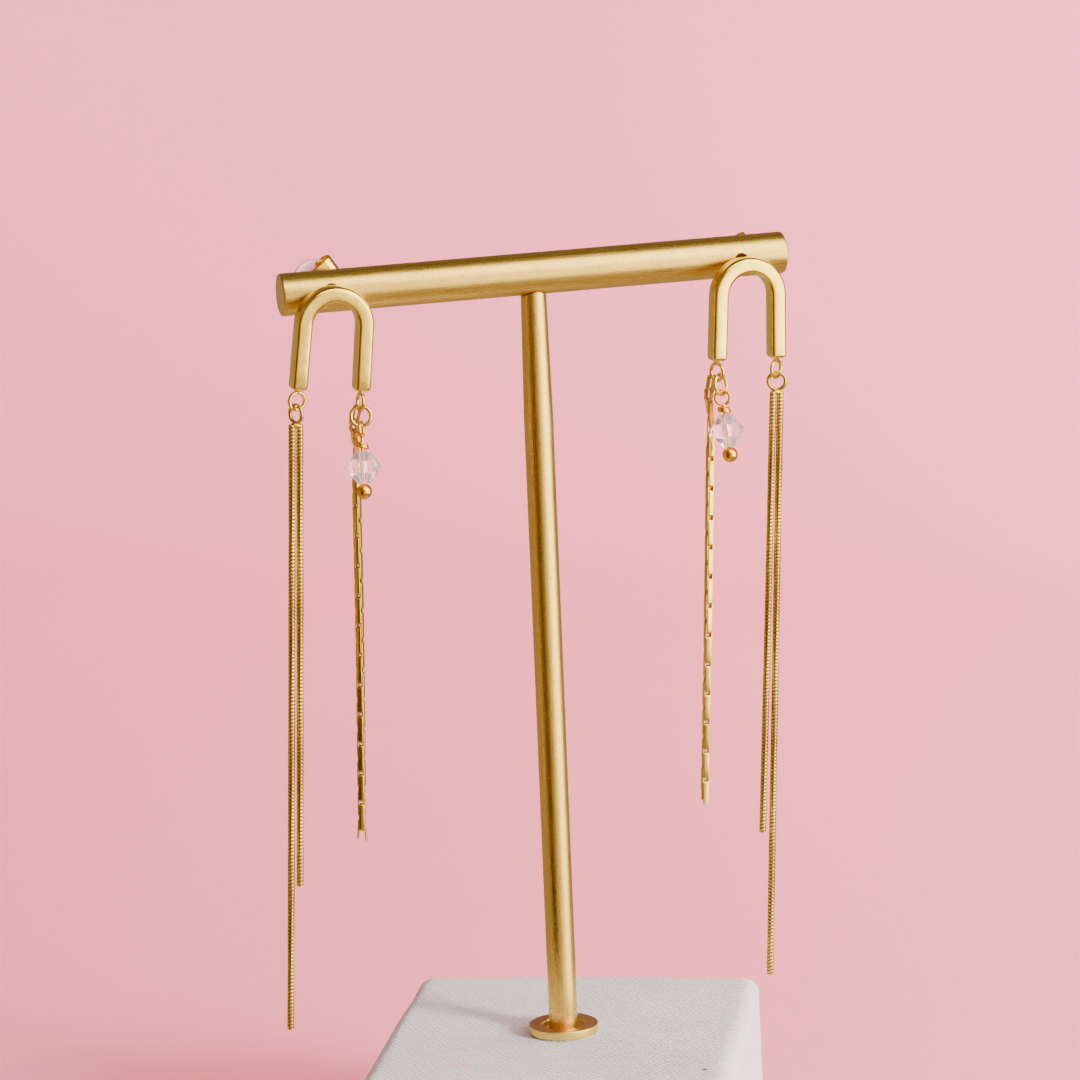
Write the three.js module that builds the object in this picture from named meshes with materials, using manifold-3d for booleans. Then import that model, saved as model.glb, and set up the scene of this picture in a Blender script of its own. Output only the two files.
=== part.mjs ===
// A pair of mirrored dangle earrings hanging on a plain T-bar stand.
// Millimetres, +Z up, the front faces -Y. The origin lies on the block's level underside, plumb below
// the middle of its top. The stand leans a little towards -X as one piece about the middle of that
// top; rings and chains hang plumb from its bar.

import * as THREE from 'three';
import { RoundedBoxGeometry } from 'three/addons/geometries/RoundedBoxGeometry.js';
import { mergeVertices } from 'three/addons/utils/BufferGeometryUtils.js';
import Module from 'manifold-3d';

const wasm = await Module();
wasm.setup();

// ---- Driving dimensions -------------------------------------------------------------------------

const GAP = 0.3;                 // room left between neighbouring pieces
const LINK_GAP = 0.06;           // room left between a ring and the ring that hangs in it
const LEAN = 2.8;                // degrees the whole stand leans towards -X

const BLOCK = { width: 53, depth: 59, height: 30, edge: 2.4, edgeSteps: 3 };
const COLLAR = {
  radius: 5.1, thickness: 1.3, grooveRadius: 3.3, grooveDepth: 0.45, bevel: 0.2, sides: 48,
};
const STEM = { radius: 2.1, topRadius: 1.78, taper: 17, height: 111.7, sunk: 18, sides: 32 };
const SPIGOT = { radius: 1.0, length: 2.4, rooted: 2, sides: 16 }; // the stem's stud inside the bar
const BAR = { radius: 3, length: 74, chamfer: 0.35, turn: 23.2, tilt: 1.0, shift: 0.35, sides: 48 };
const POST_HOLE = { radius: 1.05, sides: 20 };                      // the holes across the bar

const ARCH = { radius: 4.4, width: 2.3, depth: 2.85, height: 14.7, round: 0.6, splay: 1.1 };
const POST = { radius: 0.4, length: 11.4, sides: 12 };
const EYE = { radius: 1.22, wire: 0.26, neck: 0.2, neckRadius: 0.34, neckSides: 10 };
const SNAKE_RING = { radius: 1.24, wire: 0.275 };
const DROP_RING = { radius: 1.4, wire: 0.275 };
const RING_SIDES = { across: 8, around: 20 };
const NUT = {
  length: 7.0, width: 4.3, strip: 0.34, hole: 0.85, holeSides: 16, behindBar: 0.5,
  roll: 1.1, rollFrom: -90, rollTo: 160, rollSteps: 12,            // the rolls' angles, in degrees
};
const DISC = { radius: 2.72, thickness: 1.1, round: 0.3, hole: 0.95, sides: 32 };

const SNAKE = { radius: 0.51, spacing: 0.56, midDrift: 0.35, sides: 8, steps: 12 };
const SOLDER = { radius: 0.62, height: 0.75, widening: 1.35, sides: 12 };  // joins strands and ring
const LINKS = {
  radius: 0.6, start: 2.2, sides: 8, steps: 22,
  behindEye: 1.9, behindCrystal: 2.5, behindMiddle: 1.7, behindEnd: 1.3,
  crystalFrom: 8, crystalTo: 13,                                   // heights passed behind the crystal
};
const LOOP = { radius: 1.03, wire: 0.22, pinSides: 10 };           // the drop's wrapped loop
const WRAP = { radius: 1.0, height: 1.3, shoulder: 0.15, sides: 14 };
const CRYSTAL = { radius: 2.55, height: 4.6, tableRadius: 0.95, girdle: 0.06, bore: 0.45, facets: 12 };
const BALL = { radius: 1.1, around: 16, down: 10 };

// One row for each earring. snakeLeg is the side that carries the snake chains, along its place on
// the bar, holeRise and postRise heights against the bar's axis; turn, pitch and swing turn the arch
// about the plumb line, along the bar and about its own post, and postTurn is the post's own bend.
// An aside value is the step that a loosely hung piece has taken along what holds it.
const EARRINGS = [
  {
    name: 'left', snakeLeg: -1, along: -29.78, holeRise: 0.3, postRise: 0.42,
    turn: 2.5, pitch: 4.5, swing: 2.8, postTurn: 0,
    nutTurn: -40, nutAside: -0.05, discAside: -0.4,
    snakeEyeTurn: 15, snakeRingTurn: -62, snakeAside: -0.2,
    longStrand: { length: 87.5, drift: 0.55 },
    shortStrand: { length: 66.4, drift: -0.2 },
    dropEyeTurn: -85, dropRingTurn: -15, dropAside: 0, dropLean: 0.5, dropForward: 8,
    loopTurn: 60, pinNeck: 0.55,
    links: { length: 65.2, top: -0.4, middle: 0.1, end: 0.58 },
  },
  {
    name: 'right', snakeLeg: 1, along: 30.23, holeRise: -0.35, postRise: -0.72,
    turn: 4, pitch: 1, swing: -0.9, postTurn: -12,
    nutTurn: -32, nutAside: 0.3, discAside: -0.4,
    snakeEyeTurn: 35, snakeRingTurn: -22, snakeAside: 0.25,
    longStrand: { length: 87.1, drift: 0.1 },
    shortStrand: { length: 65.3, drift: 0.38 },
    dropEyeTurn: -67, dropRingTurn: 33, dropAside: 0.5, dropLean: 6, dropForward: 8,
    loopTurn: -19, pinNeck: 0.1,
    links: { length: 64.4, top: -0.43, middle: 0.14, end: -0.35 },
  },
];

// ---- Materials ----------------------------------------------------------------------------------

const metal = (colour, roughness) =>
  new THREE.MeshStandardMaterial({ color: colour, roughness, metalness: 1 });

const CANVAS = new THREE.MeshStandardMaterial({ color: 0xd9d7d1, roughness: 0.95, metalness: 0 });
const BRUSHED_BRASS = metal(0xc9a24a, 0.42);
const POLISHED_GOLD = metal(0xe3c27a, 0.15);
const WARM_GOLD = metal(0xe6a83c, 0.15);
const CHAIN_GOLD = metal(0xc7a04e, 0.3);
const GLASS = new THREE.MeshStandardMaterial({ color: 0xf4f2f6, roughness: 0.03, metalness: 0 });
const CLEAR_PLASTIC = new THREE.MeshStandardMaterial({ color: 0xe9e4e2, roughness: 0.2, metalness: 0 });

// ---- Solids and placing -------------------------------------------------------------------------

const radians = THREE.MathUtils.degToRad;

function positionsOnly(geometry) {
  const bare = new THREE.BufferGeometry();
  bare.setAttribute('position', geometry.getAttribute('position').clone());
  bare.setIndex(geometry.getIndex() ? geometry.getIndex().clone() : null);
  return mergeVertices(bare, 1e-5);
}

function toSolid(geometry) {
  const merged = positionsOnly(geometry);
  return new wasm.Manifold(new wasm.Mesh({
    numProp: 3,
    vertProperties: new Float32Array(merged.getAttribute('position').array),
    triVerts: new Uint32Array(merged.getIndex().array),
  }));
}

function toGeometry(solid) {
  const mesh = solid.getMesh();
  const geometry = new THREE.BufferGeometry();
  geometry.setAttribute('position', new THREE.BufferAttribute(new Float32Array(mesh.vertProperties), 3));
  geometry.setIndex(new THREE.BufferAttribute(new Uint32Array(mesh.triVerts), 1));
  geometry.computeVertexNormals();
  return geometry;
}

function joined(...geometries) {
  return toGeometry(geometries.map(toSolid).reduce((whole, piece) => whole.add(piece)));
}

function cut(geometry, ...tools) {
  return toGeometry(tools.map(toSolid).reduce((whole, tool) => whole.subtract(tool), toSolid(geometry)));
}

// A turned solid about Z from rows of [radius, height], listed from the bottom up.
function turned(profile, sides) {
  const points = profile.map(([radius, height]) => new THREE.Vector2(radius, height));
  return new THREE.LatheGeometry(points, sides).rotateX(Math.PI / 2);
}

// A plain rod about Z from one height to another.
function rod(radius, bottom, top, sides) {
  return turned([[0, bottom], [radius, bottom], [radius, top], [0, top]], sides);
}

// A wire ring standing in the XZ plane, turned about Z.
function ring({ radius, wire }, turn) {
  return new THREE.TorusGeometry(radius, wire, RING_SIDES.across, RING_SIDES.around)
    .rotateX(Math.PI / 2)
    .rotateZ(radians(turn));
}

// A tube along a curve.
function tube(curve, radius, sides, steps) {
  const corners = Array.from({ length: sides }, (_, index) => {
    const angle = (index / sides) * 2 * Math.PI;
    return new THREE.Vector2(radius * Math.cos(angle), radius * Math.sin(angle));
  });
  const options = { steps, extrudePath: curve, bevelEnabled: false };
  return new THREE.ExtrudeGeometry(new THREE.Shape(corners), options);
}

function named(name, geometry, material) {
  const mesh = new THREE.Mesh(geometry, material);
  mesh.name = name;
  return mesh;
}

const model = new THREE.Group();

// ---- Stand --------------------------------------------------------------------------------------

// Everything of the stand is drawn about the middle of the block's top and leans about that point.
const leanAtTop = new THREE.Matrix4()
  .makeTranslation(0, 0, BLOCK.height)
  .multiply(new THREE.Matrix4().makeRotationY(-radians(LEAN)));

const stand = new THREE.Group();
stand.applyMatrix4(leanAtTop);
model.add(stand);

// The block leans with the stem, and its underside is cut level where it rests.
function baseBlock() {
  const spare = 10;                                                // cut away again below the floor
  const tall = BLOCK.height + spare;
  const body = new RoundedBoxGeometry(BLOCK.width, BLOCK.depth, tall, BLOCK.edgeSteps, BLOCK.edge)
    .translate(0, 0, -tall / 2)
    .applyMatrix4(leanAtTop);
  const bore = rod(STEM.radius + GAP, -STEM.sunk - GAP, BLOCK.edge, STEM.sides).applyMatrix4(leanAtTop);
  const floorCutter = new THREE.BoxGeometry(2 * BLOCK.width, 2 * BLOCK.depth, 2 * spare)
    .translate(0, 0, -spare);
  return cut(body, bore, floorCutter);
}

// A flat washer with a shallow groove round the stem.
function baseCollar() {
  const { radius, thickness, grooveRadius, grooveDepth, bevel, sides } = COLLAR;
  const hole = STEM.radius + GAP;
  return turned([
    [hole, GAP],
    [radius, GAP],
    [radius, thickness - bevel],
    [radius - bevel, thickness],
    [grooveRadius, thickness],
    [grooveRadius, thickness - grooveDepth],
    [hole, thickness - grooveDepth],
    [hole, GAP],
  ], sides);
}

// A round rod that thins towards the bar, saddled to the bar's underside, with a stud inside the bar.
function standStem() {
  const { radius, topRadius, taper, height, sunk, sides } = STEM;
  const shaft = turned([
    [0, -sunk],
    [radius, -sunk],
    [radius, height - BAR.radius - taper],
    [topRadius, height],
    [0, height],
  ], sides);
  const saddle = barAlongX(BAR.radius + GAP, BAR.length, 0).applyMatrix4(barPlace);
  const barUnderside = height - BAR.radius;
  const spigot = rod(
    SPIGOT.radius, barUnderside - SPIGOT.rooted, barUnderside + SPIGOT.length, SPIGOT.sides,
  );
  return joined(cut(shaft, saddle), spigot);
}

// A cylinder lying along X with chamfered ends.
function barAlongX(radius, length, chamfer) {
  const end = length / 2;
  return turned([
    [0, -end],
    [radius - chamfer, -end],
    ...(chamfer > 0 ? [[radius, -end + chamfer], [radius, end - chamfer]] : []),
    [radius - chamfer, end],
    [0, end],
  ], BAR.sides).rotateY(Math.PI / 2);
}

// Where the bar sits on the stem: turned about the stem, and a touch off square to it.
const barPlace = new THREE.Matrix4()
  .makeTranslation(0, 0, STEM.height)
  .multiply(new THREE.Matrix4().makeRotationZ(radians(BAR.turn)))
  .multiply(new THREE.Matrix4().makeRotationY(-radians(BAR.tilt)))
  .multiply(new THREE.Matrix4().makeTranslation(BAR.shift, 0, 0));

const barGroup = new THREE.Group();
barGroup.applyMatrix4(barPlace);
stand.add(barGroup);

// The bar has a blind hole for the stem's stud and a hole across it for each earring's post.
function standCrossbar() {
  const socketTop = -BAR.radius + SPIGOT.length + GAP;
  const socket = rod(SPIGOT.radius + GAP, -2 * BAR.radius, socketTop, SPIGOT.sides)
    .rotateY(radians(BAR.tilt))
    .translate(-BAR.shift, 0, 0);
  const postHoles = EARRINGS.map(({ along, holeRise }) =>
    rod(POST_HOLE.radius, -2 * BAR.radius, 2 * BAR.radius, POST_HOLE.sides)
      .rotateX(Math.PI / 2)
      .translate(along - BAR.shift, 0, holeRise));
  return cut(barAlongX(BAR.radius, BAR.length, BAR.chamfer), socket, ...postHoles);
}

model.add(named('base_block', baseBlock(), CANVAS));
stand.add(named('base_collar', baseCollar(), BRUSHED_BRASS));
stand.add(named('stand_stem', standStem(), BRUSHED_BRASS));
barGroup.add(named('stand_crossbar', standCrossbar(), BRUSHED_BRASS));

// ---- Arch, post and eyes: one soldered solid ----------------------------------------------------

// Drawn about the post's axis, where it crosses the bar's axis; the post points to +Y.
const archBack = -(BAR.radius + GAP);
const archMiddle = archBack - ARCH.depth / 2;
const splay = radians(ARCH.splay);
const legDrop = ARCH.height - ARCH.width / 2 - ARCH.radius * (1 - Math.sin(splay));
const legLength = legDrop / Math.cos(splay);

// A point on the arch's outline: offset is measured outwards from the middle line, down along the leg.
function legPoint(side, offset, down) {
  const radius = ARCH.radius + offset;
  const x = radius * Math.cos(splay) + down * Math.sin(splay);
  const z = radius * Math.sin(splay) - down * Math.cos(splay);
  return new THREE.Vector2(side * x, z);
}

function archBody() {
  const half = ARCH.width / 2;
  const outline = new THREE.Shape();
  outline.moveTo(...legPoint(1, half, legLength).toArray());
  outline.lineTo(...legPoint(1, half, 0).toArray());
  outline.absarc(0, 0, ARCH.radius + half, splay, Math.PI - splay, false);
  outline.lineTo(...legPoint(-1, half, legLength).toArray());
  outline.lineTo(...legPoint(-1, -half, legLength).toArray());
  outline.absarc(0, 0, ARCH.radius - half, Math.PI - splay, splay, true);
  outline.lineTo(...legPoint(1, -half, legLength).toArray());
  return new THREE.ExtrudeGeometry(outline, {
    depth: ARCH.depth - 2 * ARCH.round,
    bevelThickness: ARCH.round,
    bevelSize: ARCH.round,
    bevelOffset: -ARCH.round,
    bevelSegments: 2,
    curveSegments: 16,
  })
    .translate(0, 0, ARCH.round)
    .rotateX(Math.PI / 2)
    .translate(0, archBack, -ARCH.radius);
}

const eyeDrop = EYE.neck + EYE.radius + EYE.wire;                  // leg end to the eye's middle

function legEnd(side) {
  const end = legPoint(side, 0, legLength);
  return new THREE.Vector3(end.x, archMiddle, end.y - ARCH.radius);
}

function eyeOnLeg(side, turn) {
  const { x, y, z } = legEnd(side);
  const neck = rod(EYE.neckRadius, -eyeDrop + EYE.radius, ARCH.round, EYE.neckSides);
  const eye = ring(EYE, turn).translate(0, 0, -eyeDrop);
  return [eye.translate(x, y, z), neck.translate(x, y, z)];
}

function archSolid(row) {
  const post = rod(POST.radius, archMiddle, archBack + POST.length, POST.sides)
    .rotateX(-Math.PI / 2)
    .rotateZ(radians(row.postTurn));
  return joined(
    archBody(),
    post,
    ...eyeOnLeg(row.snakeLeg, row.snakeEyeTurn),
    ...eyeOnLeg(-row.snakeLeg, row.dropEyeTurn),
  );
}

// ---- Ear nut and its disc -----------------------------------------------------------------------

// The outline of a strip of the given thickness that follows a line of points.
function stripOutline(line, thickness) {
  const offset = (sign) => line.map((point, index) => {
    const before = line[Math.max(index - 1, 0)];
    const after = line[Math.min(index + 1, line.length - 1)];
    const along = new THREE.Vector2().subVectors(after, before).setLength(sign * thickness / 2);
    return new THREE.Vector2(point.x - along.y, point.y + along.x);
  });
  return new THREE.Shape([...offset(-1), ...offset(1).reverse()]);
}

// A butterfly nut: a plate across the post whose two ends roll back towards the post.
function earNut() {
  const { length, width, roll, rollFrom, rollTo, rollSteps, strip } = NUT;
  const rollCentre = length / 2 - roll - strip / 2;
  const rolledEnd = (side) => Array.from({ length: rollSteps + 1 }, (_, step) => {
    const angle = radians(THREE.MathUtils.lerp(rollFrom, rollTo, step / rollSteps));
    return new THREE.Vector2(side * (rollCentre + roll * Math.cos(angle)), roll + roll * Math.sin(angle));
  });
  const line = [...rolledEnd(-1).reverse(), ...rolledEnd(1)];
  const body = new THREE.ExtrudeGeometry(stripOutline(line, strip), { depth: width, bevelEnabled: false })
    .translate(0, strip / 2, -width / 2);
  const postHole = rod(NUT.hole, -2 * strip, 2 * strip, NUT.holeSides).rotateX(-Math.PI / 2);
  return cut(body, postHole);
}

function nutDisc() {
  const { radius, thickness, round, hole, sides } = DISC;
  return turned([
    [hole, 0],
    [radius - round, 0],
    [radius, round],
    [radius, thickness - round],
    [radius - round, thickness],
    [hole, thickness],
    [hole, 0],
  ], sides).rotateX(-Math.PI / 2);
}

// Places along the post, behind the bar.
const nutPlace = BAR.radius + GAP + NUT.behindBar;
const discPlace = nutPlace + 2 * NUT.roll + NUT.strip + GAP;

// ---- Chains -------------------------------------------------------------------------------------

// Where the top of a hanging ring sits, measured from the middle of the ring that holds it.
function hookPoint(holder, hanging, turn, aside) {
  const reach = holder.radius - holder.wire - hanging.wire - LINK_GAP;
  return new THREE.Vector3(
    aside * Math.cos(radians(turn)),
    aside * Math.sin(radians(turn)),
    -Math.sqrt(reach ** 2 - aside ** 2),
  );
}

// A snake strand from its top down to its end, drifting sideways by a little on the way.
function snakeStrand(x, top, { length, drift }, side) {
  const curve = new THREE.QuadraticBezierCurve3(
    new THREE.Vector3(x, 0, top),
    new THREE.Vector3(x + side * drift * SNAKE.midDrift, 0, top - length / 2),
    new THREE.Vector3(x + side * drift, 0, top - length),
  );
  return tube(curve, SNAKE.radius, SNAKE.sides, SNAKE.steps);
}

// The ring with both snake strands soldered under it: one solid, the long strand on the outer side.
// It is drawn about the ring's top.
function snakePair({ snakeLeg, snakeRingTurn, longStrand, shortStrand }) {
  const top = -2 * SNAKE_RING.radius - SNAKE_RING.wire;
  const solder = rod(SOLDER.radius, -SOLDER.height / 2, SOLDER.height / 2, SOLDER.sides)
    .scale(SOLDER.widening, 1, 1)
    .translate(0, 0, top);
  return joined(
    ring(SNAKE_RING, snakeRingTurn).translate(0, 0, -SNAKE_RING.radius),
    solder,
    snakeStrand(snakeLeg * SNAKE.spacing, top, longStrand, snakeLeg),
    snakeStrand(-snakeLeg * SNAKE.spacing, top, shortStrand, -snakeLeg),
  );
}

// The fine long-link chain as one tube, drawn about the leg's end. It starts behind the eye's lower
// half, passes behind the crystal and hangs free below it.
function linkChain({ links: { length, top, middle, end } }) {
  const { start, behindEye, behindCrystal, behindMiddle, behindEnd, crystalFrom, crystalTo } = LINKS;
  const curve = new THREE.CatmullRomCurve3([
    new THREE.Vector3(top, behindEye, -start),
    new THREE.Vector3(middle, behindCrystal, -crystalFrom),
    new THREE.Vector3(middle, behindCrystal, -crystalTo),
    new THREE.Vector3((middle + end) / 2, behindMiddle, -start - length / 2),
    new THREE.Vector3(end, behindEnd, -start - length),
  ], false, 'centripetal');
  return tube(curve, LINKS.radius, LINKS.sides, LINKS.steps);
}

// ---- Crystal drop -------------------------------------------------------------------------------

// Heights along the head pin, measured from its loop's middle.
function pinHeights(pinNeck) {
  const wrapTop = -LOOP.radius - pinNeck;
  const wrapBottom = wrapTop - WRAP.height;
  const crystalTop = wrapBottom - LINK_GAP;
  const crystalBottom = crystalTop - CRYSTAL.height;
  const ballMiddle = crystalBottom - LINK_GAP - BALL.radius;
  return { wrapTop, wrapBottom, crystalTop, crystalBottom, ballMiddle };
}

// The head pin: ball, wire, wraps and loop are one piece of metal.
function dropPin({ loopTurn, pinNeck }) {
  const { wrapTop, wrapBottom, ballMiddle } = pinHeights(pinNeck);
  const { radius, shoulder, sides } = WRAP;
  const wire = rod(LOOP.wire, ballMiddle, -LOOP.radius, LOOP.pinSides);
  const wraps = turned([
    [0, wrapBottom],
    [radius - shoulder, wrapBottom],
    [radius, wrapBottom + shoulder],
    [radius, wrapTop - shoulder],
    [radius - shoulder, wrapTop],
    [0, wrapTop],
  ], sides);
  const ball = new THREE.SphereGeometry(BALL.radius, BALL.around, BALL.down)
    .rotateX(Math.PI / 2)
    .translate(0, 0, ballMiddle);
  return joined(ring(LOOP, loopTurn), wire, wraps, ball);
}

// A bored bicone with flat facets.
function crystal({ pinNeck }) {
  const { radius, tableRadius, girdle, bore, facets } = CRYSTAL;
  const { crystalTop, crystalBottom } = pinHeights(pinNeck);
  const middle = (crystalTop + crystalBottom) / 2;
  return turned([
    [bore, crystalBottom],
    [tableRadius, crystalBottom],
    [radius, middle - girdle],
    [radius, middle + girdle],
    [tableRadius, crystalTop],
    [bore, crystalTop],
    [bore, crystalBottom],
  ], facets);
}

// ---- One earring --------------------------------------------------------------------------------

// The arch hangs from its post in the bar; everything under its eyes hangs plumb.
function addEarring(row) {
  model.updateMatrixWorld(true);
  const onBar = barGroup.localToWorld(new THREE.Vector3(row.along - BAR.shift, 0, row.postRise));
  const arch = new THREE.Group();
  arch.position.copy(onBar);
  arch.rotation.set(radians(row.pitch), radians(row.swing), radians(BAR.turn + row.turn), 'ZXY');
  model.add(arch);
  arch.add(named(`arch_${row.name}`, archSolid(row), POLISHED_GOLD));

  const postGroup = new THREE.Group();
  postGroup.rotation.z = radians(row.postTurn);
  arch.add(postGroup);
  const nut = named(`ear_nut_${row.name}`, earNut(), POLISHED_GOLD);
  nut.position.set(row.nutAside, nutPlace, 0);
  nut.rotation.y = radians(row.nutTurn);
  postGroup.add(nut);
  const disc = named(`nut_disc_${row.name}`, nutDisc(), CLEAR_PLASTIC);
  disc.position.set(row.discAside, discPlace, 0);
  postGroup.add(disc);

  // A plumb group with its origin at the middle of the eye under one leg.
  model.updateMatrixWorld(true);
  const plumbUnder = (side) => {
    const group = new THREE.Group();
    group.position.copy(arch.localToWorld(legEnd(side).add(new THREE.Vector3(0, 0, -eyeDrop))));
    group.rotation.z = radians(BAR.turn + row.turn);
    model.add(group);
    return group;
  };

  const snakes = named(`snake_chains_${row.name}`, snakePair(row), CHAIN_GOLD);
  snakes.position.copy(hookPoint(EYE, SNAKE_RING, row.snakeEyeTurn, row.snakeAside));
  plumbUnder(row.snakeLeg).add(snakes);

  const dropSide = plumbUnder(-row.snakeLeg);
  const links = named(`link_chain_${row.name}`, linkChain(row), CHAIN_GOLD);
  links.position.z = eyeDrop;
  dropSide.add(links);

  // Ring, pin and crystal hang in one line from the top of their ring.
  const drop = new THREE.Group();
  drop.position.copy(hookPoint(EYE, DROP_RING, row.dropEyeTurn, row.dropAside));
  drop.rotation.set(-radians(row.dropForward), -radians(row.dropLean), 0, 'ZXY');
  dropSide.add(drop);
  const dropRing = named(`drop_ring_${row.name}`, ring(DROP_RING, row.dropRingTurn), WARM_GOLD);
  dropRing.position.z = -DROP_RING.radius;
  drop.add(dropRing);
  const pinPlace = hookPoint(DROP_RING, LOOP, row.dropRingTurn, 0).z - DROP_RING.radius - LOOP.radius;
  const pin = named(`drop_pin_${row.name}`, dropPin(row), WARM_GOLD);
  pin.position.z = pinPlace;
  drop.add(pin);
  const bead = named(`crystal_${row.name}`, crystal(row), GLASS);
  bead.position.z = pinPlace;
  drop.add(bead);
}

EARRINGS.forEach(addEarring);

export default model;
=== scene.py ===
"""The looks of a pair of mirrored dangle earrings that hang on a plain T-bar stand.

Shapes are drawn in millimetres in each piece's own frame, then placed by a matrix and stored in
metres. The dimensions are those of the part's solids, which every piece here stands for.
"""

import math
from types import SimpleNamespace as Row

import bmesh
import bpy
import numpy as np
from mathutils import Matrix, Vector, noise


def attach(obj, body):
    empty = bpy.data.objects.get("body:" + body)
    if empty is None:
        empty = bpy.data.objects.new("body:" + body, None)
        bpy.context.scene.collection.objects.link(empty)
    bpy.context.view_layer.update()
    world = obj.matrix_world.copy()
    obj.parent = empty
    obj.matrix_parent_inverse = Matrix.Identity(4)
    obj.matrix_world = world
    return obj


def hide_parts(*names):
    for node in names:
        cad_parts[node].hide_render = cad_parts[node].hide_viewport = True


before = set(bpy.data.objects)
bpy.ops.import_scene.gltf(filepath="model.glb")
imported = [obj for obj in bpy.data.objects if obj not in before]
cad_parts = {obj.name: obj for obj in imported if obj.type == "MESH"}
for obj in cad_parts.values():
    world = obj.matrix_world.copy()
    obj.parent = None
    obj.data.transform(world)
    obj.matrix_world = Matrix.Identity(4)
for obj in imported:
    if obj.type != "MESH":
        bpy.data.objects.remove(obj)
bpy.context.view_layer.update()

MM = 0.001
TURN = 2 * math.pi

# ---- Dimensions of the part, in millimetres and degrees ----

LEAN = 2.8
LINK_GAP = 0.06
BLOCK = Row(width=53, depth=59, height=30, edge=2.4)
COLLAR = Row(radius=5.1, thickness=1.3, groove_radius=3.3, groove_depth=0.45)
STEM = Row(radius=2.1, top_radius=1.78, taper=17, height=111.7, sunk=18)
BAR = Row(radius=3, length=74, chamfer=0.35, turn=23.2, tilt=1.0, shift=0.35, gap=0.3)
POST_HOLE = 1.05
ARCH = Row(radius=4.4, width=2.3, depth=2.85, height=14.7, round=0.6, lip=0.5, splay=1.1)
POST = Row(radius=0.4, length=11.4)
EYE = Row(radius=1.22, wire=0.26, neck=0.2, neck_radius=0.34)
SNAKE_RING = Row(radius=1.24, wire=0.275)
DROP_RING = Row(radius=1.4, wire=0.275)
NUT = Row(length=7.0, width=4.3, roll=1.1, strip=0.34, behind_bar=0.5)
DISC = Row(radius=2.72, thickness=1.1, round=0.3, hole=0.6)
SNAKE = Row(radius=0.51, spacing=0.56, mid_drift=0.35, pitch=0.52)
LINK = Row(length=4.05, width=1.1, corner=0.3, thickness=0.24, strip=0.82, pitch=2.15, turn=28)
LINKS = Row(start=2.2, behind_eye=1.9, behind_crystal=2.5, behind_middle=1.7, behind_end=1.3,
            crystal_from=8, crystal_to=13)
LOOP = Row(radius=1.03, wire=0.22)
WRAP = Row(radius=1.0, height=1.3, turns=3, droop=0.16)
CRYSTAL = Row(radius=2.55, height=4.6, table_radius=0.95, girdle=0.06, bore=0.45, facets=12)
BALL = 1.1

EARRINGS = [
    Row(name="left", snake_leg=-1, along=-29.78, hole_rise=0.3, post_rise=0.42,
        turn=2.5, pitch=4.5, swing=2.8, post_turn=0,
        nut_turn=-40, nut_aside=-0.05, disc_aside=-0.4,
        snake_eye_turn=15, snake_ring_turn=-62, snake_aside=-0.2,
        long_strand=Row(length=87.5, drift=0.55), short_strand=Row(length=66.4, drift=-0.2),
        drop_eye_turn=-85, drop_ring_turn=-15, drop_aside=0, drop_lean=0.5, drop_forward=8,
        loop_turn=60, pin_neck=0.55,
        links=Row(length=65.2, top=-0.4, middle=0.1, end=0.58)),
    Row(name="right", snake_leg=1, along=30.23, hole_rise=-0.35, post_rise=-0.72,
        turn=4, pitch=1, swing=-0.9, post_turn=-12,
        nut_turn=-32, nut_aside=0.3, disc_aside=-0.4,
        snake_eye_turn=35, snake_ring_turn=-22, snake_aside=0.25,
        long_strand=Row(length=87.1, drift=0.1), short_strand=Row(length=65.3, drift=0.38),
        drop_eye_turn=-67, drop_ring_turn=33, drop_aside=0.5, drop_lean=6, drop_forward=8,
        loop_turn=-19, pin_neck=0.1,
        links=Row(length=64.4, top=-0.43, middle=0.14, end=-0.35)),
]


def radians(degrees):
    return math.radians(degrees)


def turn_about(axis, degrees):
    return Matrix.Rotation(radians(degrees), 4, axis)


def step(x=0.0, y=0.0, z=0.0):
    return Matrix.Translation((x, y, z))


# The stand leans about the middle of the block's top, and the bar sits on the stem's top.
LEAN_AT_TOP = step(z=BLOCK.height) @ turn_about("Y", -LEAN)
BAR_PLACE = (LEAN_AT_TOP @ step(z=STEM.height) @ turn_about("Z", BAR.turn)
             @ turn_about("Y", -BAR.tilt) @ step(x=BAR.shift))

# ---- Camera, floor and light ----


def make_camera():
    lens, sensor = 126.6, 36
    right = Vector((0.99007, 0.14041, 0.00739))
    up = Vector((-0.03164, 0.17129, 0.98471))
    ahead = Vector((-0.1370, 0.97516, -0.17403))
    data = bpy.data.cameras.new("camera")
    data.lens = lens
    data.sensor_width = sensor
    data.clip_start = 0.01
    camera = bpy.data.objects.new("camera", data)
    turned = Matrix((right, up, -ahead)).transposed().to_4x4()
    camera.matrix_world = Matrix.Translation(Vector((70.70, -532.45, 198.18)) * MM) @ turned
    bpy.context.scene.collection.objects.link(camera)
    bpy.context.scene.camera = camera


def light_towards(name, azimuth, elevation, distance, width, height, power, colour, target):
    """An area light seen from the target at an azimuth (0 is -Y, 90 is +X) and an elevation."""
    flat = math.cos(radians(elevation))
    away = Vector((math.sin(radians(azimuth)) * flat, -math.cos(radians(azimuth)) * flat,
                   math.sin(radians(elevation))))
    data = bpy.data.lights.new(name, "AREA")
    data.shape = "RECTANGLE"
    data.size = width * MM
    data.size_y = height * MM
    data.energy = power
    data.color = colour
    light = bpy.data.objects.new(name, data)
    light.location = (Vector(target) + away * distance) * MM
    light.rotation_euler = away.to_track_quat("Z", "Y").to_euler()
    bpy.context.scene.collection.objects.link(light)
    return light


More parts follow.
